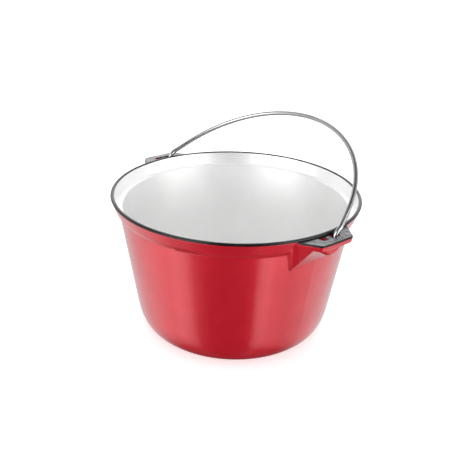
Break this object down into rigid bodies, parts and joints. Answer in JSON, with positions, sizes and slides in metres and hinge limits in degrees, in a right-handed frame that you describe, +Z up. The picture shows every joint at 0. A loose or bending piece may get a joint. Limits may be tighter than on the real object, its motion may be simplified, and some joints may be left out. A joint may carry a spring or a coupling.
{
  "type": "cast iron dutch oven",
  "caption": "Open enamelled cast-iron pot with a stepped lid ledge, two bracketed lugs and a hooked wire bail that swings.",
  "frame": {"origin": "centre of the ground foot, on the surface the pot stands on", "axes": "+Z up along the pot's axis, X through both lugs, the bail leaning towards +Y at rest"},
  "size_m": [0.3156, 0.28, 0.233],
  "materials": {
    "iron": "ground matt foot, the rest hidden under enamel",
    "red_enamel": "gloss vitreous enamel",
    "white_enamel": "gloss vitreous enamel",
    "black_enamel": "gloss vitreous enamel",
    "steel_wire": "bright drawn wire"
  },
  "bodies": {
    "pot": {"pot_casting": "iron", "outside_enamel": "red_enamel", "inside_enamel": "white_enamel", "rim_enamel": "black_enamel", "right_well_enamel": "red_enamel", "left_well_enamel": "red_enamel"},
    "bail": {"bail": "steel_wire"}
  },
  "joints": [
    {"name": "bail_swing", "type": "hinge", "parent": "pot", "child": "bail", "pos_m": [0, 0, 0.1577], "axis": [1, 0, 0], "range_deg": [0, 117]}
  ]
}
